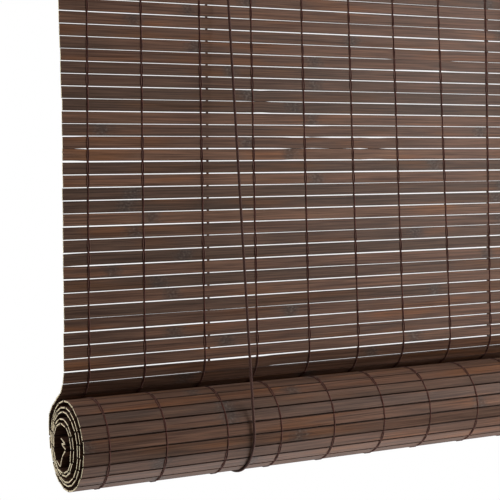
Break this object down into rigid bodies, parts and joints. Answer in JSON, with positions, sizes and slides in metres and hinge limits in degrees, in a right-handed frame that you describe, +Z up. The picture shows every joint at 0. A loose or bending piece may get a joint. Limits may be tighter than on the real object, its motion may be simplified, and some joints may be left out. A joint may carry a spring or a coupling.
{
  "type": "bamboo roll-up blind",
  "caption": "Roll-up window blind of stained bamboo slats on warp threads, hung from a wooden headrail and half raised by lift cords that pass under its roll.",
  "frame": {"origin": "midway between the two hanger holes, on the back faces of the hangers", "axes": "+X to the right across the blind as seen from the room, +Y to the window behind it, +Z up"},
  "size_m": [0.6, 0.0836, 0.4816],
  "materials": {
    "bamboo": "dark stained bamboo, satin",
    "warp_thread": "red-brown twisted cotton",
    "lift_cord": "dark brown braid",
    "headrail_wood": "dark stained softwood, satin",
    "zinc_steel": "zinc plated",
    "brass_fittings": "satin brass"
  },
  "bodies": {
    "headrail": {"hanging_slats": "bamboo", "warp_thread_01": "warp_thread", "warp_thread_02": "warp_thread", "warp_thread_03": "warp_thread", "warp_thread_04": "warp_thread", "warp_thread_05": "warp_thread", "warp_thread_06": "warp_thread", "warp_thread_07": "warp_thread", "warp_thread_08": "warp_thread", "warp_thread_09": "warp_thread", "warp_thread_10": "warp_thread", "warp_thread_11": "warp_thread", "warp_thread_12": "warp_thread", "left_cord_front_run": "lift_cord", "right_cord_front_run": "lift_cord", "left_cord_back_run": "lift_cord", "right_cord_back_run": "lift_cord", "left_cord_back_end": "lift_cord", "right_cord_back_end": "lift_cord", "left_cord_top_run": "lift_cord", "right_cord_top_run": "lift_cord", "cord_end_knot": "lift_cord", "back_batten": "headrail_wood", "front_lath": "headrail_wood", "left_hanger": "zinc_steel", "right_hanger": "zinc_steel", "hanger_screws": "zinc_steel", "lath_pins": "zinc_steel", "cord_lock_trough": "zinc_steel", "cord_lock_pin": "zinc_steel", "left_cord_ferrule": "brass_fittings", "right_cord_ferrule": "brass_fittings"},
    "lock_cam": {"cord_lock_cam": "brass_fittings"},
    "roll_sling": {"left_cord_cradle": "lift_cord", "right_cord_cradle": "lift_cord", "lead_in_slats": "bamboo", "lead_in_threads": "warp_thread"},
    "roll": {"rolled_mat": "bamboo", "roll_threads": "warp_thread"}
  },
  "joints": [
    {"name": "lift", "type": "slide", "parent": "headrail", "child": "roll_sling", "axis": [0, 0, 1], "range_m": [0, 0.32], "deforming": ["hanging_slats", "warp_thread_01", "warp_thread_02", "warp_thread_03", "warp_thread_04", "warp_thread_05", "warp_thread_06", "warp_thread_07", "warp_thread_08", "warp_thread_09", "warp_thread_10", "warp_thread_11", "warp_thread_12", "left_cord_front_run", "right_cord_front_run", "left_cord_back_run", "right_cord_back_run"]},
    {"name": "roll_turn", "type": "hinge", "parent": "roll_sling", "child": "roll", "pos_m": [0, -0.0359, -0.43306], "axis": [1, 0, 0], "range_deg": [-470, 0]},
    {"name": "lock_cam_turn", "type": "hinge", "parent": "headrail", "child": "lock_cam", "pos_m": [0.24, -0.0399, -0.0132], "axis": [0, 1, 0], "range_deg": [-60, 0]}
  ],
  "couplings": [
    {"joint": "roll_turn", "follows": "lift", "rad_per_m": -25.317}
  ]
}
